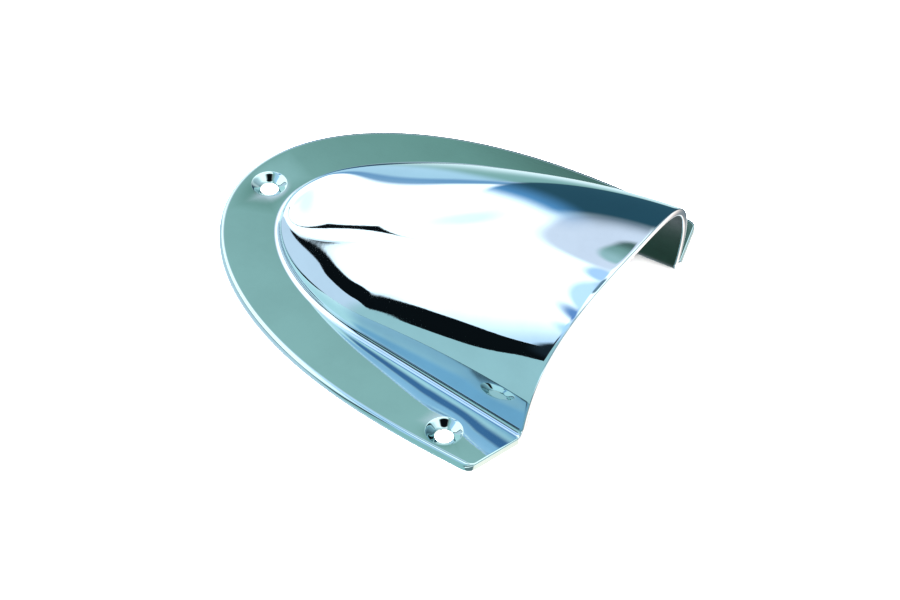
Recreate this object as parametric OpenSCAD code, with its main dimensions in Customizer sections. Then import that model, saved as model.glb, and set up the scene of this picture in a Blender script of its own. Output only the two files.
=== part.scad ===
// Clam-shell cowl vent: a thin hood, open at one end, on a horseshoe flange.
// The mouth faces -Y, the nose points to +Y and the flange lies on Z = 0.
// Lengths along the vent are stations, counted from the nose of the flange.

/* [Flange] */
// Width over both wings
flange_width = 98; // [94:1:104]
// Thickness of the plate
flange_thick = 2; // [1.8:0.1:2.6]
// Station where the outline reaches its full width
bow_length = 94; // [88:1:97]
// Fullness of the bowed outline, where 2 is an ellipse
bow_fullness = 2.4; // [2:0.1:2.8]
// Station of the outer corners of the wings
wing_station = 100.5; // [99:0.5:103]
// Radius of the wing corners, seen from above
corner_radius = 3; // [1.5:0.5:3.5]
// Radius along the top of the outer edge
edge_radius = 1.2; // [0.6:0.1:1.4]
// Radius along the top of the wing ends
end_radius = 0.4; // [0.2:0.1:0.5]

/* [Hood] */
// Outside height of the hood at its mouth, above the mounting face
hood_height = 38; // [34:0.5:42]
// Thickness of the hood's wall
wall = 1.8; // [1.4:0.1:2]
// Width over the foot of the hood at the mouth
foot_width = 70.4; // [66:0.2:72]
// Taper of the foot on each side, in mm for each mm of length
foot_taper = 0.09; // [0.05:0.01:0.12]
// Station of the hood's nose, at the outer edge of the foot
hood_nose = 13.7; // [12.5:0.1:15]
// Length of the bowed part of the foot
foot_bow = 42.8; // [38:0.2:46]
// Fullness of the bowed foot, where 2 is an ellipse
foot_fullness = 2.17; // [2:0.01:2.5]
// Radius of the cove between the hood and the flange
cove_radius = 1.45; // [1:0.05:2]
// Squareness of the arch at the mouth, where 2 is an ellipse
arch_fullness = 2.5; // [2.2:0.05:2.8]

/* [Mouth] */
// Station of the mouth at the foot
mouth_foot = 104.8; // [104:0.1:106]
// How far the crown overhangs the foot by its lean
mouth_lean = 5.2; // [3:0.1:7]
// How far the middle of the crown bows forward on top of that
mouth_bow = 2; // [0:0.1:3]

/* [Screw holes] */
// Bore that a number 8 screw passes through
screw_bore = 4.5; // [4.3:0.1:4.8]
// Width of the countersink at the surface
sink_width = 8.7; // [8:0.1:9]
// Length of the plain bore below the countersink
bore_land = 0.4; // [0.3:0.1:0.6]
// Station of the nose hole
nose_hole = 7.2; // [6.8:0.1:7.6]
// Station of the two wing holes
wing_hole = 89.3; // [84:0.1:92]
// Distance between the two wing holes
wing_spread = 85.8; // [85:0.1:87]

/* [Hidden] */
// Rows over the bowed part of the hood and from there to the mouth
bow_rows = 18;
straight_rows = 12;
rows = bow_rows + straight_rows;
// Steps round the arch and round the cove
arch_steps = 28;
cove_steps = 4;
// Steps round the outline of the flange, its corners and its edge radius
outline_steps = 36;
corner_steps = 6;
edge_steps = 4;
hole_facets = 64;
eps = 0.01;
// Stations where the wall of the hood starts and where its bow ends
wall_nose = hood_nose + cove_radius;
bow_end = hood_nose + foot_bow;
// Height where the cove meets the wall
wall_foot = flange_thick + cove_radius;
// Shape of the ridge: a step up at the nose, then a long rise that flattens
nose_step = 1.65;
nose_step_length = 4.4;
rise_flattening = 1.91;
rise_softness = 1.42;
rise = hood_height - wall_foot - nose_step;
rise_length = mouth_foot + mouth_lean + mouth_bow - wall_nose;
// Extra wall inside the nose and the length over which the inside rounds up
nose_wall = 4;
inner_round = 5;
// Half width of the wall's foot at the mouth
wall_half = foot_width / 2 - cove_radius;
// The middle of the vent's length stands over the origin
length = mouth_foot + mouth_lean + mouth_bow;
mid_station = length / 2;

function clip(v) = max(0, min(1, v));
function unit(v) = v / norm(v);
// Quarter of a circle that rises from 0 at 0 to 1 at 1
function quarter_round(v) = sqrt(1 - pow(1 - clip(v), 2));
// A point at a station becomes a point in the part's frame
function place(x, station, z) = [x, mid_station - station, z];
function flat(x, station) = [x, mid_station - station];

// ---- outline of the flange, right half, from the nose to the wing's corner
function bow_half(station) =
    flange_width / 2 * sqrt(1 - pow(1 - clip(station / bow_length), bow_fullness));
function bow_points() = [
    for (i = [0 : outline_steps])
        let (station = bow_length * (1 - cos(90 * i / outline_steps)))
        flat(bow_half(station), station)
];
// Rounded corner between the side of a wing and its end, which runs to the foot
function corner_points(foot_end) =
    let (
        corner = flat(flange_width / 2, wing_station),
        to_nose = [0, 1],
        to_foot = unit(foot_end - corner),
        half_angle = acos(to_nose * to_foot) / 2,
        centre = corner + unit(to_nose + to_foot) * corner_radius / sin(half_angle),
        swing = 180 - 2 * half_angle
    )
    [
        for (i = [0 : corner_steps])
            let (a = -swing * i / corner_steps)
            centre + corner_radius * [cos(a), sin(a)]
    ];
function mirrored(points) = [for (i = [len(points) - 1 : -1 : 0]) [-points[i][0], points[i][1]]];

// ---- ground lines of the hood
function foot_half(station, half, start) =
    (half - foot_taper * (mouth_foot - station))
    * sqrt(1 - pow(1 - clip((station - start) / (bow_end - start)), foot_fullness));
function outer_half(station) = foot_half(station, wall_half, wall_nose);
function inner_half(station) = foot_half(station, wall_half - wall, wall_nose + nose_wall);

// ---- height of the ridge above the foot of the wall
function ridge(station) =
    let (s = clip((station - wall_nose) / rise_length))
    rise * pow(1 - pow(1 - s, rise_flattening), rise_softness)
    + nose_step * quarter_round((station - wall_nose) / nose_step_length);
function inner_ridge(station) =
    max(0, ridge(station) - wall) * quarter_round((station - wall_nose - nose_wall) / inner_round);

// ---- arch across the hood at a station: angle 0 is the crown, 90 the foot
function fullness(station) =
    2 + (arch_fullness - 2) * clip((station - wall_nose) / rise_length);
function arch(angle, half, height, full) =
    let (r = pow(pow(abs(sin(angle)), full) + pow(abs(cos(angle)), full), -1 / full))
    [half * r * sin(angle), wall_foot + height * r * cos(angle)];
function outer_arch(angle, station) =
    arch(angle, outer_half(station), ridge(station), fullness(station));
function inner_arch(angle, station) =
    arch(angle, inner_half(station), inner_ridge(station), fullness(station));

// ---- station of the mouth's cut for a direction round the arch
function cut_station(point) =
    let (
        up = (point[1] - flange_thick) / (hood_height - flange_thick),
        out = point[0] / (foot_width / 2)
    )
    mouth_foot + up * (mouth_lean + mouth_bow * (1 - out * out));
function mouth_station(angle, guess = mouth_foot, turns = 8) =
    turns == 0 ? guess
        : mouth_station(angle, cut_station(outer_arch(angle, guess)), turns - 1);
function row_station(row, start, angle) =
    row <= bow_rows
        ? start + (bow_end - start) * (1 - cos(90 * row / bow_rows))
        : bow_end + (mouth_station(angle) - bow_end) * (row - bow_rows) / straight_rows;

// ---- one row of the hood's outside and inside, from the left foot to the right
function arch_angle(step) = -90 + 180 * step / arch_steps;
// Direction square to the foot of the wall, seen from above
function foot_out(row, side) =
    row == 0 ? [0, 1]
        : let (
            station = row_station(row, wall_nose, 90),
            slope = (outer_half(station + eps) - outer_half(station - eps)) / (2 * eps)
        )
        unit([side, slope]);
function wall_point(row, side) =
    let (station = row_station(row, wall_nose, 90))
    flat(side * outer_half(station), station);
function foot_point(row, side) = wall_point(row, side) + cove_radius * foot_out(row, side);
function inner_point(row, side) =
    let (station = row_station(row, wall_nose + nose_wall, 90))
    flat(side * inner_half(station), station);
// Cove on the outside, from the flange at step 0 up to the wall
function cove_point(row, side, step) =
    let (
        a = 90 * step / cove_steps,
        p = foot_point(row, side) - cove_radius * sin(a) * foot_out(row, side)
    )
    [p[0], p[1], wall_foot - cove_radius * cos(a)];
// Bend on the inside, from the mounting face at step 0 up to the wall
function bend_point(row, side, step) =
    let (
        a = 90 * step / cove_steps,
        outside = foot_point(row, side),
        p = outside + (inner_point(row, side) - outside) * sin(a)
    )
    [p[0], p[1], wall_foot * (1 - cos(a))];
function outer_row(row) = [
    for (k = [0 : cove_steps - 1]) cove_point(row, -1, k),
    for (j = [0 : arch_steps])
        let (
            station = row_station(row, wall_nose, arch_angle(j)),
            p = outer_arch(arch_angle(j), station)
        )
        place(p[0], station, p[1]),
    for (k = [cove_steps - 1 : -1 : 0]) cove_point(row, 1, k)
];
function inner_row(row) = [
    for (k = [0 : cove_steps - 1]) bend_point(row, -1, k),
    for (j = [0 : arch_steps])
        let (
            station = row_station(row, wall_nose + nose_wall, arch_angle(j)),
            p = inner_arch(arch_angle(j), station)
        )
        place(p[0], station, p[1]),
    for (k = [cove_steps - 1 : -1 : 0]) bend_point(row, 1, k)
];

module hood() {
    across = arch_steps + 2 * cove_steps + 1;
    loop = 2 * across;
    points = [
        for (row = [0 : rows])
            each concat(outer_row(row), [for (i = [across - 1 : -1 : 0]) inner_row(row)[i]])
    ];
    // At the nose the left and right halves of the first row are the same line
    function fold(i) = min(i, across - 1 - i, cove_steps);
    function vertex(row, i) =
        row > 0 ? row * loop + i
            : i < across ? fold(i) : loop - 1 - fold(loop - 1 - i);
    skin = [
        for (row = [0 : rows - 1], i = [0 : loop - 1])
            let (
                next = (i + 1) % loop,
                a = vertex(row, i),
                b = vertex(row, next),
                c = vertex(row + 1, next),
                d = vertex(row + 1, i)
            )
            each (a == b ? [[a, c, d]] : [[a, b, c], [a, c, d]])
    ];
    last = rows * loop;
    lip = [
        for (i = [0 : across - 2])
            let (
                a = last + i,
                b = last + loop - 1 - i
            )
            each [[a, a + 1, b - 1], [a, b - 1, b]]
    ];
    color("gainsboro") polyhedron(points, concat(skin, lip));
}

module countersunk_hole(x, station) {
    translate([x, mid_station - station, 0]) {
        translate([0, 0, -1])
            cylinder(d = screw_bore, h = flange_thick + 2, $fn = hole_facets);
        translate([0, 0, bore_land])
            cylinder(d1 = screw_bore, d2 = sink_width, h = flange_thick - bore_land, $fn = hole_facets);
    }
}

// The plate's outline, drawn in by the edge radius at a level of the edge
module plate() {
    foot_end = foot_point(rows, 1);
    bow = bow_points();
    corner = corner_points(foot_end);
    side = [for (i = [1 : len(bow) - 1]) bow[i]];
    near_foot = foot_end + unit(corner[corner_steps] - foot_end);
    right = concat(side, corner, [near_foot]);
    outline = concat(mirrored(right), [bow[0]], right);
    last = len(outline) - 1;
    inside = concat(
        [for (row = [rows : -1 : 1]) foot_point(row, 1)],
        [for (row = [0 : rows]) foot_point(row, -1)]
    );
    count = len(outline) + len(inside);
    // The edge radius is full along the sides, small along the wing ends
    ends = corner_steps + 1;
    function radius_at(i) =
        let (from_end = min(i, last - i))
        end_radius + (edge_radius - end_radius) * clip((from_end - 1) / ends);
    function inward(i) =
        let (
            before = outline[max(i - 1, 0)],
            after = outline[min(i + 1, last)],
            along = unit(after - before)
        )
        [along[1], -along[0]];
    function level(k) =
        let (a = 90 * k / edge_steps)
        [
            for (i = [0 : last])
                let (
                    r = radius_at(i),
                    p = outline[i] + inward(i) * r * (1 - cos(a))
                )
                [p[0], p[1], flange_thick - r * (1 - sin(a))],
            for (p = inside) [p[0], p[1], flange_thick - end_radius * (1 - sin(a))]
        ];
    bottom = [for (p = concat(outline, inside)) [p[0], p[1], 0]];
    points = concat(bottom, [for (k = [0 : edge_steps]) each level(k)]);
    walls = [
        for (k = [0 : edge_steps], i = [0 : count - 1])
            let (
                a = k * count + i,
                b = k * count + (i + 1) % count
            )
            [a, b, b + count, a + count]
    ];
    // Triangles from the outline to the nearest stretch of the inside edge
    function partner(i) = count - 1 - floor(i * (len(inside) - 1) / last);
    function strip(start) = [
        for (i = [0 : last - 1])
            let (
                a = partner(i),
                b = partner(i + 1)
            )
            each concat(
                [[start + i, start + a, start + i + 1]],
                a == b ? [] : [[start + i + 1, start + a, start + b]]
            )
    ];
    underside = strip(0);
    top = [for (f = strip((edge_steps + 1) * count)) [f[2], f[1], f[0]]];
    polyhedron(points, concat(walls, underside, top));
}

module flange() {
    color("silver") difference() {
        plate();
        countersunk_hole(0, nose_hole);
        for (side = [-1, 1]) countersunk_hole(side * wing_spread / 2, wing_hole);
    }
}

flange();
hood();
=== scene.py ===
# Clam-shell cowl vent: the polished look of the hood and the flange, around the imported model.
# Lengths inside the shape functions are in millimetres; meshes are made in metres.
import math

import bpy
import bmesh
from mathutils import Matrix, Vector
from mathutils.geometry import delaunay_2d_cdt


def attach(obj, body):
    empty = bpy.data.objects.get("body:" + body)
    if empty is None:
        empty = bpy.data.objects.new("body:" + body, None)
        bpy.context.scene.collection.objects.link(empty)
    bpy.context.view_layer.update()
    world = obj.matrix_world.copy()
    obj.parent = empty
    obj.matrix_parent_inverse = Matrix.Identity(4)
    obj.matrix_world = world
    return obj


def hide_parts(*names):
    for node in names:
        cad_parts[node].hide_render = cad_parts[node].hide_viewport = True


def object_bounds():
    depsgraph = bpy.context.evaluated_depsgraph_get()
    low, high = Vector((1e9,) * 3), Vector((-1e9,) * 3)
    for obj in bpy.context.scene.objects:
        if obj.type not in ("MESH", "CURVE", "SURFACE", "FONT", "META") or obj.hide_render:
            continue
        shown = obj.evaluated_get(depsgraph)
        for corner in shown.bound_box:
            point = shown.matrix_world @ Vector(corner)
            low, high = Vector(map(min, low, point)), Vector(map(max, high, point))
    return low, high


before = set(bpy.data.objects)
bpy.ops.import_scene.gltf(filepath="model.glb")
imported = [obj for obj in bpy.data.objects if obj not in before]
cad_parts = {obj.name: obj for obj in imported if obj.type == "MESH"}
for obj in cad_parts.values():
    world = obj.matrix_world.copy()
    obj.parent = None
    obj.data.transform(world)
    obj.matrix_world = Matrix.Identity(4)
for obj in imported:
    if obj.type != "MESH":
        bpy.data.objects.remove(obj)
cad_low, cad_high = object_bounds()
scene = bpy.context.scene
MM = 0.001

# ---------------------------------------------------------------- camera
CAM_AZIMUTH, CAM_ELEVATION, CAM_ROLL = -55.52, 45.61, 0.29
CAM_DISTANCE = 0.8427
CAM_TARGET = Vector((-0.0059, -0.00935, 0.0))
CAM_LENS = 141.06


def make_camera():
    azimuth, elevation = math.radians(CAM_AZIMUTH), math.radians(CAM_ELEVATION)
    back = Vector((
        math.sin(azimuth) * math.cos(elevation),
        -math.cos(azimuth) * math.cos(elevation),
        math.sin(elevation),
    ))
    data = bpy.data.cameras.new("camera")
    data.sensor_width = 36.0
    data.lens = CAM_LENS
    data.clip_start, data.clip_end = 0.01, 20.0
    camera = bpy.data.objects.new("camera", data)
    scene.collection.objects.link(camera)
    camera.rotation_mode = "QUATERNION"
    turn = (-back).to_track_quat("-Z", "Y")
    camera.rotation_quaternion = turn @ Matrix.Rotation(math.radians(CAM_ROLL), 3, "Z").to_quaternion()
    camera.location = CAM_TARGET + back * CAM_DISTANCE
    scene.camera = camera


make_camera()

# ---------------------------------------------------------------- sizes, in mm
FLANGE_WIDTH, FLANGE_THICK = 98.0, 2.0
BOW_LENGTH, BOW_FULLNESS = 94.0, 2.4
WING_STATION, CORNER_RADIUS = 100.5, 3.0
EDGE_RADIUS, END_RADIUS = 1.2, 0.4
HOOD_HEIGHT, WALL = 38.0, 1.8
FOOT_WIDTH, FOOT_TAPER = 70.4, 0.09
HOOD_NOSE, FOOT_BOW, FOOT_FULLNESS = 13.7, 42.8, 2.17
COVE_RADIUS, ARCH_FULLNESS = 1.45, 2.5
MOUTH_FOOT, MOUTH_LEAN, MOUTH_BOW = 104.8, 5.2, 2.0
SCREW_BORE, SINK_WIDTH, BORE_LAND = 4.5, 8.7, 0.4
NOSE_HOLE, WING_HOLE, WING_SPREAD = 7.2, 89.3, 85.8
WALL_NOSE = HOOD_NOSE + COVE_RADIUS
BOW_END = HOOD_NOSE + FOOT_BOW
WALL_FOOT = FLANGE_THICK + COVE_RADIUS
NOSE_STEP, NOSE_STEP_LENGTH = 1.65, 4.4
RISE_FLATTENING, RISE_SOFTNESS = 1.91, 1.42
RISE = HOOD_HEIGHT - WALL_FOOT - NOSE_STEP
RISE_LENGTH = MOUTH_FOOT + MOUTH_LEAN + MOUTH_BOW - WALL_NOSE
NOSE_WALL, INNER_ROUND = 4.0, 5.0
WALL_HALF = FOOT_WIDTH / 2 - COVE_RADIUS
MID_STATION = (MOUTH_FOOT + MOUTH_LEAN + MOUTH_BOW) / 2
LIP_ROUND = 0.35
# Broken lower edge of the flange, and the narrow flat strip beside each of its rounded edges
BURR, RIM_STRIP = 0.15, 0.06
# Countersink: width and depth of the broken rim, stops down the cone, broken edge above the bore
SINK_EDGE, SINK_DROP, SINK_BREAK = 0.12, 0.004, 0.03
CONE_DROPS = (0.09, 0.4, 0.8, 1.2)
BORE_BREAK = 0.02
# Turns in which the station of the mouth settles
MOUTH_TURNS = 8
# Vertices closer than WELD become one, and edges shorter than SLIVER go
WELD, SLIVER = 2e-4, 1e-4
# Points of a flat face closer than this are the same point
SAME_POINT = 1e-6
# Edges that turn by more than this many degrees stay sharp
SHARP_ANGLE = 40

BOW_ROWS, STRAIGHT_ROWS, ARCH_STEPS, COVE_STEPS, LIP_STEPS = 60, 44, 128, 14, 5
OUTLINE_STEPS, CORNER_STEPS, WING_END_STEPS, HOLE_STEPS = 150, 20, 8, 96
EDGE_STEPS, BURR_STEPS = 10, 3


def clip(v):
    return max(0.0, min(1.0, v))


def quarter_round(v):
    return math.sqrt(1 - (1 - clip(v)) ** 2)


# ---------------------------------------------------------------- shape of the hood
def foot_half(station, half, start):
    bow = 1 - clip((station - start) / (BOW_END - start))
    return (half - FOOT_TAPER * (MOUTH_FOOT - station)) * math.sqrt(1 - bow ** FOOT_FULLNESS)


def outer_half(station):
    return foot_half(station, WALL_HALF, WALL_NOSE)


def inner_half(station):
    return foot_half(station, WALL_HALF - WALL, WALL_NOSE + NOSE_WALL)


def ridge(station):
    s = clip((station - WALL_NOSE) / RISE_LENGTH)
    rise = RISE * (1 - (1 - s) ** RISE_FLATTENING) ** RISE_SOFTNESS
    return rise + NOSE_STEP * quarter_round((station - WALL_NOSE) / NOSE_STEP_LENGTH)


def inner_ridge(station):
    return max(0.0, ridge(station) - WALL) * quarter_round((station - WALL_NOSE - NOSE_WALL) / INNER_ROUND)


def fullness(station):
    return 2 + (ARCH_FULLNESS - 2) * clip((station - WALL_NOSE) / RISE_LENGTH)


def arch(angle, half, height, full):
    across, up = math.sin(angle), math.cos(angle)
    r = (abs(across) ** full + abs(up) ** full) ** (-1 / full)
    return half * r * across, WALL_FOOT + height * r * up


def cut_station(x, z):
    up = (z - FLANGE_THICK) / (HOOD_HEIGHT - FLANGE_THICK)
    out = x / (FOOT_WIDTH / 2)
    return MOUTH_FOOT + up * (MOUTH_LEAN + MOUTH_BOW * (1 - out * out))


def mouth_station(angle):
    station = MOUTH_FOOT
    for _ in range(MOUTH_TURNS):
        station = cut_station(*arch(angle, outer_half(station), ridge(station), fullness(station)))
    return station


def row_station(row, start, mouth):
    """Rows close up towards the nose, and are evenly spaced from the end of the bow to the mouth."""
    if row <= BOW_ROWS:
        return start + (BOW_END - start) * (1 - math.cos(math.pi / 2 * row / BOW_ROWS))
    return BOW_END + (mouth - BOW_END) * (row - BOW_ROWS) / STRAIGHT_ROWS


def foot_out(station, side):
    if station <= WALL_NOSE:
        return Vector((0.0, 1.0))
    step = 0.001
    slope = (outer_half(station + step) - outer_half(station - step)) / (2 * step)
    return Vector((side, slope)).normalized()


def wall_point(station, side):
    return Vector((side * outer_half(station), MID_STATION - station))


def foot_point(station, side):
    return wall_point(station, side) + COVE_RADIUS * foot_out(station, side)


def outer_line(row, mouths):
    """One row of the outside, from the left foot line over the arch to the right one."""
    station = row_station(row, WALL_NOSE, MOUTH_FOOT)
    coves = {}
    for side in (-1, 1):
        wall, out = wall_point(station, side), foot_out(station, side)
        coves[side] = []
        for k in range(COVE_STEPS):
            a = math.pi / 2 * k / COVE_STEPS
            p = wall + COVE_RADIUS * (1 - math.sin(a)) * out
            coves[side].append(Vector((p.x, p.y, WALL_FOOT - COVE_RADIUS * math.cos(a))))
    over = []
    for j, mouth in enumerate(mouths):
        s = row_station(row, WALL_NOSE, mouth)
        angle = math.pi * (j / ARCH_STEPS - 0.5)
        x, z = arch(angle, outer_half(s), ridge(s), fullness(s))
        over.append(Vector((x, MID_STATION - s, z)))
    return coves[-1] + over + coves[1][::-1]


def inner_line(row, mouths):
    """The matching row of the inside, from the mounting face up over the arch and down."""
    station = row_station(row, WALL_NOSE, MOUTH_FOOT)
    start = WALL_NOSE + NOSE_WALL
    inside = row_station(row, start, MOUTH_FOOT)
    bends = {}
    for side in (-1, 1):
        foot = foot_point(station, side)
        wall = Vector((side * inner_half(inside), MID_STATION - inside))
        bends[side] = []
        for k in range(COVE_STEPS):
            a = math.pi / 2 * k / COVE_STEPS
            p = foot + (wall - foot) * math.sin(a)
            bends[side].append(Vector((p.x, p.y, WALL_FOOT * (1 - math.cos(a)))))
    over = []
    for j, mouth in enumerate(mouths):
        s = row_station(row, start, mouth)
        angle = math.pi * (j / ARCH_STEPS - 0.5)
        x, z = arch(angle, inner_half(s), inner_ridge(s), fullness(s))
        over.append(Vector((x, MID_STATION - s, z)))
    return bends[-1] + over + bends[1][::-1]


def rounded(before, edge, across_to, k):
    """Row k of the small radius at one edge of the lip, from its own side towards the other."""
    a = math.pi / 2 * k / LIP_STEPS
    row = []
    for p, e, other in zip(before, edge, across_to):
        along, across = (e - p).normalized(), (other - e).normalized()
        row.append(e - along * LIP_ROUND * (1 - math.sin(a)) + across * LIP_ROUND * (1 - math.cos(a)))
    return row


def lip_lines(before, outer, inner, inner_before):
    """Rows round the lip: a small radius, the flat face, and a small radius."""
    rows = [rounded(before, outer, inner, k) for k in range(LIP_STEPS + 1)]
    rows += [rounded(inner_before, inner, outer, k) for k in range(LIP_STEPS, -1, -1)]
    return rows


def finish_mesh(name, bm):
    """Welds, orients and smooths a mesh made in mm, and makes the object in metres."""
    bmesh.ops.remove_doubles(bm, verts=bm.verts, dist=WELD)
    bmesh.ops.dissolve_degenerate(bm, edges=bm.edges, dist=SLIVER)
    bmesh.ops.recalc_face_normals(bm, faces=bm.faces)
    for face in bm.faces:
        face.smooth = True
    for edge in bm.edges:
        edge.smooth = edge.is_manifold and edge.calc_face_angle(0.0) < math.radians(SHARP_ANGLE)
    mesh = bpy.data.meshes.new(name)
    bm.to_mesh(mesh)
    bm.free()
    mesh.transform(Matrix.Scale(MM, 4))
    obj = bpy.data.objects.new(name, mesh)
    scene.collection.objects.link(obj)
    return obj


def make_hood():
    mouths = [mouth_station(math.pi * (j / ARCH_STEPS - 0.5)) for j in range(ARCH_STEPS + 1)]
    last = BOW_ROWS + STRAIGHT_ROWS
    outers = [outer_line(row, mouths) for row in range(last + 1)]
    inners = [inner_line(row, mouths) for row in range(last + 1)]
    lip = lip_lines(outers[last - 1], outers[last], inners[last], inners[last - 1])
    lines = outers[:last] + lip + inners[last - 1::-1]
    bm = bmesh.new()
    grid = [[bm.verts.new(p) for p in line] for line in lines]
    count = len(grid[0])
    inside_from = last + len(lip) - 1
    for k, (row, below) in enumerate(zip(grid, grid[1:])):
        for i in range(count - 1):
            face = bm.faces.new((row[i], row[i + 1], below[i + 1], below[i]))
            face.material_index = 1 if k >= inside_from else 0
    # The butt face at each foot joins the outside's first row to the inside's
    half = len(lines) // 2
    for i in (0, count - 1):
        for k in range(half):
            a, b, c, d = grid[k][i], grid[k + 1][i], grid[-k - 2][i], grid[-k - 1][i]
            corners = list(dict.fromkeys((a, b, c, d)))
            if len(corners) > 2:
                bm.faces.new(corners)
    # At the nose the first rows fold onto one line, and the wall between them is closed
    first, final = grid[0], grid[-1]
    for i in range(COVE_STEPS):
        bm.faces.new((first[i], first[i + 1], final[i + 1], final[i]))
    return finish_mesh("hood_shell", bm)


# ---------------------------------------------------------------- shape of the flange
def bow_half(station):
    bow = 1 - clip(station / BOW_LENGTH)
    return FLANGE_WIDTH / 2 * math.sqrt(1 - bow ** BOW_FULLNESS)


def right_outline():
    """Right half of the outline with the edge radius at each point, from the nose to the foot."""
    points = []
    for i in range(OUTLINE_STEPS + 1):
        station = BOW_LENGTH * (1 - math.cos(math.pi / 2 * i / OUTLINE_STEPS))
        points.append((Vector((bow_half(station), MID_STATION - station)), EDGE_RADIUS))
    corner = Vector((FLANGE_WIDTH / 2, MID_STATION - WING_STATION))
    foot = foot_point(MOUTH_FOOT, 1)
    to_nose, to_foot = Vector((0.0, 1.0)), (foot - corner).normalized()
    half_angle = math.acos(to_nose.dot(to_foot)) / 2
    centre = corner + (to_nose + to_foot).normalized() * CORNER_RADIUS / math.sin(half_angle)
    swing = math.pi - 2 * half_angle
    for i in range(CORNER_STEPS + 1):
        a = -swing * i / CORNER_STEPS
        share = i / CORNER_STEPS
        radius = EDGE_RADIUS + (END_RADIUS - EDGE_RADIUS) * share * share * (3 - 2 * share)
        points.append((centre + CORNER_RADIUS * Vector((math.cos(a), math.sin(a))), radius))
    end = points[-1][0]
    for i in range(1, WING_END_STEPS + 1):
        points.append((end.lerp(foot, i / WING_END_STEPS), END_RADIUS))
    return points


def quarter_turn(k, steps):
    """How far step k of a quarter round still has to go, and how far it has drawn in."""
    a = math.pi / 2 * k / steps
    return 1 - math.sin(a), 1 - math.cos(a)


def make_flange():
    right = right_outline()
    left = [(Vector((-p.x, p.y)), r) for p, r in right[:0:-1]]
    outline = left + right
    last = len(outline) - 1
    stations = [row_station(row, WALL_NOSE, MOUTH_FOOT) for row in range(BOW_ROWS + STRAIGHT_ROWS + 1)]
    inside = [foot_point(s, 1) for s in stations[:0:-1]] + [foot_point(s, -1) for s in stations]

    def inward(i):
        if i in (0, last):
            return Vector((0.0, 1.0))
        along = (outline[min(i + 1, last)][0] - outline[max(i - 1, 0)][0]).normalized()
        return Vector((along.y, -along.x))

    def level(height, drawn_in):
        """The outline at one height, drawn in from the edge; both follow the edge radius."""
        ring = []
        for i, (p, radius) in enumerate(outline):
            q = p + inward(i) * drawn_in(radius)
            ring.append(Vector((q.x, q.y, height(radius))))
        return ring

    levels = [level(lambda r: 0.0, lambda r: BURR + RIM_STRIP)]
    for k in range(BURR_STEPS + 1):
        left_over, drawn = quarter_turn(k, BURR_STEPS)
        levels.append(level(lambda r: BURR * drawn, lambda r: BURR * left_over))
    for k in range(EDGE_STEPS + 1):
        left_over, drawn = quarter_turn(k, EDGE_STEPS)
        levels.append(level(lambda r: FLANGE_THICK - r * left_over, lambda r: r * drawn))
    levels.append(level(lambda r: FLANGE_THICK, lambda r: r + RIM_STRIP))
    bm = bmesh.new()
    rings = [[bm.verts.new(p) for p in ring] for ring in levels]
    for low, high in zip(rings, rings[1:]):
        for i in range(last):
            bm.faces.new((low[i], low[i + 1], high[i + 1], high[i]))

    holes = [(0.0, NOSE_HOLE)] + [(side * WING_SPREAD / 2, WING_HOLE) for side in (-1, 1)]
    centres = [Vector((x, MID_STATION - s)) for x, s in holes]

    def circle(centre, radius):
        angles = [2 * math.pi * i / HOLE_STEPS for i in range(HOLE_STEPS)]
        return [centre + radius * Vector((math.cos(a), math.sin(a))) for a in angles]

    def cap(ring, z, hole_radius):
        """Flat face between the outline, the foot line and the rims of the holes."""
        border = [Vector((p.x, p.y)) for p in ring] + inside
        points, edges = list(border), [(i, (i + 1) % len(border)) for i in range(len(border))]
        for centre in centres:
            start = len(points)
            points += circle(centre, hole_radius)
            edges += [(start + i, start + (i + 1) % HOLE_STEPS) for i in range(HOLE_STEPS)]
        places, _, faces, *_ = delaunay_2d_cdt(points, edges, [], 1, SAME_POINT)
        verts = [bm.verts.new((p.x, p.y, z)) for p in places]
        for face in faces:
            middle = sum((places[i] for i in face), Vector((0.0, 0.0))) / len(face)
            if all((middle - centre).length > hole_radius for centre in centres):
                bm.faces.new([verts[i] for i in face])

    cap(levels[-1], FLANGE_THICK, SINK_WIDTH / 2 + SINK_EDGE)
    cap(levels[0], 0.0, SCREW_BORE / 2)
    # Inside edge, where the hood's foot stands against the plate
    low = [bm.verts.new((p.x, p.y, 0.0)) for p in inside]
    high = [bm.verts.new((p.x, p.y, FLANGE_THICK)) for p in inside]
    for i in range(len(inside) - 1):
        bm.faces.new((low[i], low[i + 1], high[i + 1], high[i]))

    # Countersinks: broken rim, cone, then the plain land of the bore
    sink, bore = SINK_WIDTH / 2, SCREW_BORE / 2
    slope = (sink - bore) / (FLANGE_THICK - BORE_LAND)
    profile = [(sink + SINK_EDGE, FLANGE_THICK)]
    profile.append((sink + SINK_EDGE / 2, FLANGE_THICK - SINK_DROP))
    profile.append((sink, FLANGE_THICK - SINK_BREAK))
    for drop in (*CONE_DROPS, FLANGE_THICK - BORE_LAND - SINK_BREAK):
        profile.append((sink - slope * drop, FLANGE_THICK - drop))
    profile += [(bore, BORE_LAND - BORE_BREAK), (bore, 0.0)]
    for centre in centres:
        circles = [[bm.verts.new((p.x, p.y, z)) for p in circle(centre, r)] for r, z in profile]
        for upper, lower in zip(circles, circles[1:]):
            for i in range(HOLE_STEPS):
                n = (i + 1) % HOLE_STEPS
                bm.faces.new((upper[i], upper[n], lower[n], lower[i]))
    return finish_mesh("flange_plate", bm)


# ---------------------------------------------------------------- colours and studio cards
# Outside metal colours: chrome's own grey reflectance, darkened and tinted teal (the flange's greener), a
# painted reflection colour that stands in for the teal surroundings the metal mirrors
HOOD_CHROME_WITH_PAINTED_REFLECTION, FLANGE_CHROME_WITH_PAINTED_REFLECTION = (0.42, 0.58, 0.64), (0.34, 0.52, 0.53)
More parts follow.
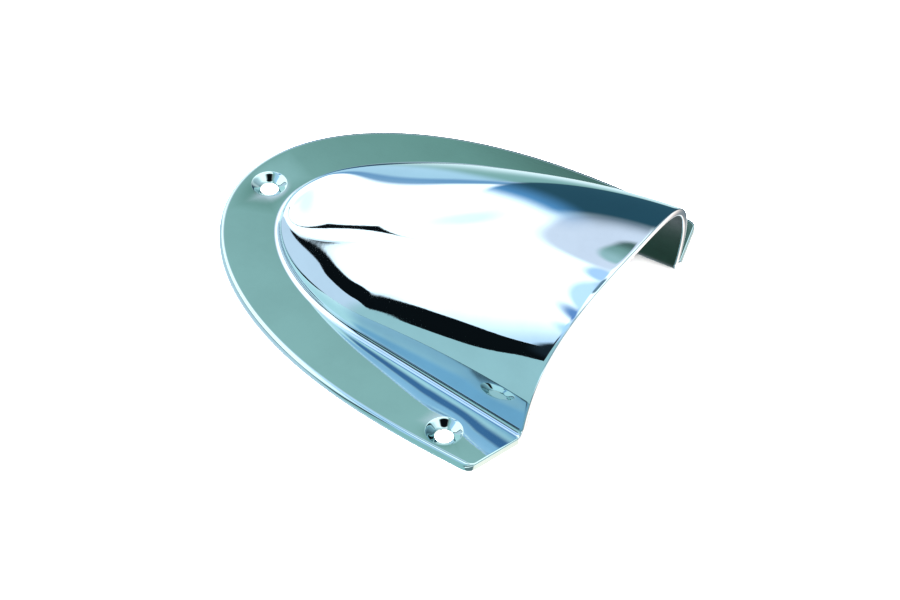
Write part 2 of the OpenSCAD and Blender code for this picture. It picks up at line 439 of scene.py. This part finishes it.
# Inside of the hood: painted shade, far darker than any metal, for the shade within the enclosed hood
INSIDE_PAINTED_SHADE = (0.018, 0.046, 0.033)
# The table is lit until it is about as white as the background, shaded parts included
TABLE_LIGHT = 8.0
TABLE_RADIUS, TABLE_STEPS, TABLE_GAP = 3.0, 96, 0.0001
TABLE_WHITE = 0.93
# Lower edge of the panel and upper edge of the wall, as azimuth and elevation in degrees
PANEL_EDGE = [(73, 17.8), (94, 20.2), (113, 18.2), (126, 14.6), (133, 9),
              (137, 7.4), (141, 9), (145, 19), (150, 30)]
WALL_EDGE = [(75, 17.2), (90, 18), (112, 12.4), (130, 3), (135, 0),
             (139, -5), (142, -10.8), (146, 2), (150, 16)]
# Drop of both edges at their left ends, in degrees
CARD_DROP = 18.0
BLACK = (0.006, 0.008, 0.01)


# ---------------------------------------------------------------- node helpers
class Tree:
    """Short calls for building a node tree."""

    def __init__(self, tree):
        self.tree = tree
        tree.nodes.clear()

    def node(self, kind, **settings):
        made = self.tree.nodes.new(kind)
        for key, value in settings.items():
            setattr(made, key, value)
        return made

    def put(self, socket, value):
        if isinstance(value, bpy.types.NodeSocket):
            self.tree.links.new(value, socket)
        else:
            socket.default_value = value

    def math(self, operation, *values):
        made = self.node("ShaderNodeMath", operation=operation)
        for socket, value in zip(made.inputs, values):
            self.put(socket, value)
        return made.outputs[0]

    def ramp(self, value, low, high, out_low=0.0, out_high=1.0):
        """Smooth step from low to high."""
        made = self.node("ShaderNodeMapRange", interpolation_type="SMOOTHSTEP", clamp=True)
        for socket, number in zip(made.inputs, (value, low, high, out_low, out_high)):
            self.put(socket, number)
        return made.outputs[0]

    def mix(self, factor, a, b):
        made = self.node("ShaderNodeMix", data_type="RGBA")
        self.put(made.inputs[0], factor)
        self.put(made.inputs[6], a)
        self.put(made.inputs[7], b)
        return made.outputs[2]

    def noise(self, vector, scale, detail=2.0, roughness=0.5):
        made = self.node("ShaderNodeTexNoise")
        self.put(made.inputs["Vector"], vector)
        self.put(made.inputs["Scale"], scale)
        self.put(made.inputs["Detail"], detail)
        self.put(made.inputs["Roughness"], roughness)
        return made.outputs["Fac"]

    def bump(self, height, strength, distance, under=None):
        made = self.node("ShaderNodeBump")
        self.put(made.inputs["Strength"], strength)
        self.put(made.inputs["Distance"], distance)
        self.put(made.inputs["Height"], height)
        if under is not None:
            self.put(made.inputs["Normal"], under)
        return made.outputs[0]


def chrome(name, colour, waviness):
    """Bright plating: faint waviness from the pressing, fine polishing lines and a little haze."""
    material = bpy.data.materials.new(name)
    material.use_nodes = True
    t = Tree(material.node_tree)
    place = t.node("ShaderNodeTexCoord").outputs["Object"]
    wave = t.noise(place, scale=28.0, detail=1.0)
    fine = t.noise(place, scale=900.0, detail=3.0, roughness=0.6)
    haze = t.noise(place, scale=70.0, detail=4.0, roughness=0.65)
    stretched = t.node("ShaderNodeMapping")
    t.put(stretched.inputs["Vector"], place)
    stretched.inputs["Scale"].default_value = (5200.0, 260.0, 900.0)
    lines = t.noise(stretched.outputs[0], scale=1.0)
    shader = t.node("ShaderNodeBsdfPrincipled")
    shader.inputs["Metallic"].default_value = 1.0
    # Base colour: the given metal colour with its painted reflection tint, varied a little at random by
    # the haze
    tint = t.mix(t.ramp(haze, 0.35, 0.75), (*colour, 1.0), (*[c * 0.94 for c in colour], 1.0))
    t.put(shader.inputs["Base Color"], tint)
    smear = t.ramp(haze, 0.4, 0.8, 0.012, 0.035)
    t.put(shader.inputs["Roughness"], t.math("ADD", smear, t.ramp(lines, 0.5, 0.8, 0.0, 0.012)))
    slow = t.bump(wave, strength=waviness, distance=0.0006)
    marks = t.math("ADD", fine, lines)
    t.put(shader.inputs["Normal"], t.bump(marks, strength=0.03, distance=0.00002, under=slow))
    t.put(t.node("ShaderNodeOutputMaterial").inputs["Surface"], shader.outputs[0])
    return material


def shaded_inside(name, colour):
    """The plating inside the hood, satin where it isn't polished and a little uneven; its dark colour is
    painted shade for the enclosed hollow.
    """
    material = bpy.data.materials.new(name)
    material.use_nodes = True
    t = Tree(material.node_tree)
    place = t.node("ShaderNodeTexCoord").outputs["Object"]
    cloud = t.noise(place, scale=110.0, detail=4.0, roughness=0.6)
    grain = t.noise(place, scale=2600.0)
    shader = t.node("ShaderNodeBsdfPrincipled")
    shader.inputs["Metallic"].default_value = 1.0
    # Painted shade: the dark inside colour, varied a little at random by the cloud
    tint = t.mix(t.ramp(cloud, 0.3, 0.7), (*colour, 1.0), (*[c * 0.75 for c in colour], 1.0))
    t.put(shader.inputs["Base Color"], tint)
    t.put(shader.inputs["Roughness"], t.ramp(cloud, 0.3, 0.7, 0.34, 0.46))
    t.put(shader.inputs["Normal"], t.bump(grain, strength=0.15, distance=0.00004))
    t.put(t.node("ShaderNodeOutputMaterial").inputs["Surface"], shader.outputs[0])
    return material


# ---------------------------------------------------------------- the vent
hood = make_hood()
flange = make_flange()
hood.data.materials.append(chrome("polished_chrome_hood", HOOD_CHROME_WITH_PAINTED_REFLECTION, 0.03))
hood.data.materials.append(shaded_inside("inside_chrome_painted_shade", INSIDE_PAINTED_SHADE))
flange.data.materials.append(chrome("polished_chrome_flange", FLANGE_CHROME_WITH_PAINTED_REFLECTION, 0.02))
for piece, node in ((hood, "hood"), (flange, "flange")):
    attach(piece, "root")
    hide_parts(node)


# ---------------------------------------------------------------- floor and studio
def make_floor():
    """White table. The metal doesn't mirror it, but the studio's own lower half."""
    bm = bmesh.new()
    bmesh.ops.create_circle(bm, cap_ends=True, segments=TABLE_STEPS, radius=TABLE_RADIUS)
    mesh = bpy.data.meshes.new("floor")
    bm.to_mesh(mesh)
    bm.free()
    floor = bpy.data.objects.new("floor", mesh)
    floor.location.z = cad_low.z - TABLE_GAP
    floor.visible_glossy = False
    scene.collection.objects.link(floor)
    material = bpy.data.materials.new("floor")
    material.use_nodes = True
    t = Tree(material.node_tree)
    shader = t.node("ShaderNodeBsdfDiffuse")
    shader.inputs["Color"].default_value = (TABLE_WHITE, TABLE_WHITE, TABLE_WHITE, 1.0)
    t.put(t.node("ShaderNodeOutputMaterial").inputs["Surface"], shader.outputs[0])
    mesh.materials.append(material)


class Studio:
    """A studio drawn on the sky. Places are azimuth and elevation in degrees, azimuth from +X to +Y."""

    def __init__(self, tree):
        self.t = Tree(tree)
        split = self.t.node("ShaderNodeSeparateXYZ")
        self.t.put(split.inputs[0], self.t.node("ShaderNodeTexCoord").outputs["Generated"])
        x, y, z = split.outputs
        self.az = self.t.math("DEGREES", self.t.math("ARCTAN2", y, x))
        self.el = self.t.math("DEGREES", self.t.math("ARCSINE", z))
        # The same azimuth from 0 to 360, for what lies across -X
        self.turned = self.t.math("MODULO", self.plus(self.az, 360.0), 360.0)
        self.look = None

    def plus(self, a, b):
        return self.t.math("ADD", a, b)

    def minus(self, a, b):
        return self.t.math("SUBTRACT", a, b)

    def times(self, a, b):
        return self.t.math("MULTIPLY", a, b)

    def away(self, value, middle):
        return self.t.math("ABSOLUTE", self.minus(value, middle))

    def both(self, *masks):
        mask = masks[0]
        for other in masks[1:]:
            mask = self.times(mask, other)
        return mask

    def rises(self, value, low, high):
        return self.t.ramp(value, low, high)

    def falls(self, value, low, high):
        return self.t.ramp(value, low, high, 1.0, 0.0)

    def oval(self, centre, half, soft, azimuth=None):
        """A soft oval; soft is the share of its size over which it fades."""
        azimuth = self.az if azimuth is None else azimuth
        across = self.t.math("DIVIDE", self.minus(azimuth, centre[0]), half[0])
        up = self.t.math("DIVIDE", self.minus(self.el, centre[1]), half[1])
        far = self.t.math("SQRT", self.plus(self.times(across, across), self.times(up, up)))
        return self.falls(far, 1.0 - soft, 1.0 + soft)

    def edge(self, stops):
        """Elevation of a card's edge, which passes through a few places."""
        first, last = stops[0][0], stops[-1][0]
        curve = self.t.node("ShaderNodeFloatCurve")
        points = curve.mapping.curves[0].points
        places = [((a - first) / (last - first), (e + 90) / 180) for a, e in stops]
        points[0].location, points[1].location = places[0], places[-1]
        for place in places[1:-1]:
            points.new(*place)
        for point in points:
            point.handle_type = "AUTO_CLAMPED"
        curve.mapping.update()
        share = self.t.math("DIVIDE", self.minus(self.az, first), last - first)
        self.t.put(curve.inputs["Value"], share)
        return self.minus(self.times(curve.outputs[0], 180.0), 90.0)

    def blend(self, mask, start, end):
        return self.t.mix(mask, (*start, 1.0), (*end, 1.0))

    def lay(self, mask, colour):
        """Lays a colour over what is drawn so far, where the mask is 1."""
        colour = (*colour, 1.0) if isinstance(colour, tuple) else colour
        self.look = self.t.mix(mask, self.look, colour)


def draw_wall_and_table(s):
    """Pale in the middle, teal to the right, bluer to the left; then a white table and a dark corner."""
    pale, teal, left = (1.15, 1.2, 1.38), (0.67, 0.94, 0.95), (0.74, 1.02, 1.22)
    s.look = s.blend(s.rises(s.az, 132, 141), pale, teal)
    s.lay(s.falls(s.az, 60, 75), left)
    far_left = s.blend(s.falls(s.el, -28, -12), (0.39, 0.65, 0.61), (0.96, 1.17, 1.21))
    s.lay(s.falls(s.az, 38, 42), far_left)
    s.lay(s.falls(s.az, -10, 15), (2.4, 1.8, 1.6))
    s.lay(s.falls(s.az, -110, -95), (0.3, 0.38, 0.4))


def over_card(s, stops, start, end):
    """Height above a card's edge, which drops by CARD_DROP as the azimuth falls from end to start."""
    edge = s.minus(s.edge(stops), s.times(s.falls(s.az, start, end), CARD_DROP))
    return s.minus(s.el, edge)


def draw_panel(s, over_panel):
    """White, cooler at its right end, faintly lilac at its foot, dim and blue at the ceiling."""
    on_panel = s.rises(over_panel, -1.0, 1.2)
    s.lay(on_panel, (2.6, 2.4, 2.4))
    s.lay(s.both(on_panel, s.rises(s.az, 130, 147)), (0.95, 1.15, 1.5))
    s.lay(s.oval((57, 18), (5, 3), 0.6), (1.9, 1.85, 1.95))
    s.lay(s.oval((60, 67), (20, 6.5), 0.25), (0.3, 0.42, 0.52))
    s.lay(s.oval((94, 61.5), (34, 4), 0.35), (1.25, 1.45, 1.95))
    s.lay(s.oval((51, 56.5), (9, 4.5), 0.4), (0.95, 1.15, 1.7))


def draw_rest_of_room(s):
    """Behind the camera: grey wall, darker at the horizon and white again overhead."""
    behind = s.both(s.rises(s.turned, 160, 178), s.falls(s.turned, 338, 359))
    wall = s.blend(s.rises(s.el, 8, 40), (0.28, 0.34, 0.4), (1.0, 1.1, 1.2))
    s.lay(s.both(behind, s.rises(s.el, -4, 2), s.falls(s.el, 36, 52)), wall)
    horizon = s.falls(s.away(s.el, 1.0), 2, 8)
    s.lay(s.both(behind, horizon), (0.03, 0.04, 0.05))


def draw_screen(s):
    """Lilac screen on the left, with a grey-green middle that is darker to the left and at its foot."""
    s.lay(s.oval((38, 40), (18, 15), 0.15), (1.4, 1.26, 1.42))
    slant = s.plus(s.el, s.times(s.minus(s.az, 37.0), 0.6))
    middle = s.blend(s.rises(slant, 40.5, 47.5), (0.36, 0.56, 0.5), (0.67, 0.88, 0.87))
    middle = s.t.mix(s.falls(slant, 39.6, 41.8), middle, (0.15, 0.24, 0.21, 1.0))
    s.lay(s.oval((35, 45.5), (7.6, 4.8), 0.25), middle)


def draw_blue_parts(s):
    """Line under the panel's left part, and the right corner of the ceiling, paler lower down."""
    under = s.falls(s.away(s.el, -2.5), 0.8, 3.2)
    s.lay(s.both(under, s.falls(s.az, 45, 72), s.rises(s.az, 30, 42)), (0.3, 0.54, 0.85))
    s.lay(s.oval((126, 55.5), (13, 5), 0.5), (0.27, 0.48, 0.95))
    s.lay(s.oval((139, 44), (6, 6), 0.5), (1.0, 1.3, 1.8))


def draw_dark_room(s):
    """Dark room past the left end of the wall, bluer at its right edge."""
    top = s.plus(s.el, s.times(s.minus(s.az, 29.0), 0.3))
    foot = s.minus(s.el, s.times(s.minus(s.az, 42.3), 1.15))
    between = s.both(s.falls(s.az, 43.5, 49), s.rises(s.az, -20, 5))
    room = s.both(between, s.falls(top, 24, 39), s.rises(foot, -1.2, 1.0))
    s.lay(room, s.blend(s.rises(s.az, 38, 45.5), (0.04, 0.122, 0.175), (0.2, 0.5, 0.92)))


def draw_gap(s, over_panel):
    """Dark gap between the panel and the wall, with an upright end on the right."""
    over_wall = over_card(s, WALL_EDGE, 74.0, 75.4)
    gap = s.both(s.falls(over_panel, -0.1, 0.3), s.rises(over_wall, -0.1, 0.3))
    s.lay(s.both(gap, s.rises(s.az, 75.2, 75.7), s.falls(s.az, 147.5, 149)), BLACK)
    s.lay(s.oval((145.6, 23), (2.3, 13), 0.3), (0.02, 0.03, 0.04))


def draw_slit(s):
    """Slit at the gap's left end, which slants up and narrows to nothing."""
    line = s.plus(s.times(s.minus(s.az, 66.0), 1.2), 14.2)
    reach = s.minus(72.8, s.az)
    width = s.times(s.times(reach, reach), 0.019)
    slit = s.rises(s.minus(width, s.away(s.el, line)), -0.15, 0.15)
    s.lay(s.both(slit, s.rises(s.az, 64.6, 65.0), s.falls(s.az, 72.5, 72.8)), BLACK)


def make_world():
    """The metal mirrors the studio. The camera sees plain white, and the table is lit by it."""
    world = bpy.data.worlds.new("studio")
    scene.world = world
    world.use_nodes = True
    s = Studio(world.node_tree)
    over_panel = over_card(s, PANEL_EDGE, 73.4, 74.4)
    draw_wall_and_table(s)
    draw_panel(s, over_panel)
    draw_rest_of_room(s)
    draw_screen(s)
    draw_blue_parts(s)
    draw_dark_room(s)
    draw_gap(s, over_panel)
    draw_slit(s)
    # Dark part of the room round the camera
    s.lay(s.oval((215, 56), (38, 9), 0.25, s.turned), BLACK)

    t = s.t
    light, plain = t.node("ShaderNodeBackground"), t.node("ShaderNodeBackground")
    t.put(light.inputs["Color"], s.look)
    plain.inputs["Color"].default_value = (1.0, 1.0, 1.0, 1.0)
    seen = t.node("ShaderNodeMixShader")
    rays = t.node("ShaderNodeLightPath")
    matt, direct = rays.outputs["Is Diffuse Ray"], rays.outputs["Is Camera Ray"]
    t.put(plain.inputs["Strength"], t.ramp(matt, 0.0, 1.0, 1.0, TABLE_LIGHT))
    t.put(seen.inputs[0], t.math("MAXIMUM", direct, matt))
    t.put(seen.inputs[1], light.outputs[0])
    t.put(seen.inputs[2], plain.outputs[0])
    t.put(t.node("ShaderNodeOutputWorld").inputs["Surface"], seen.outputs[0])


make_floor()
make_world()
scene.view_settings.view_transform = "Standard"
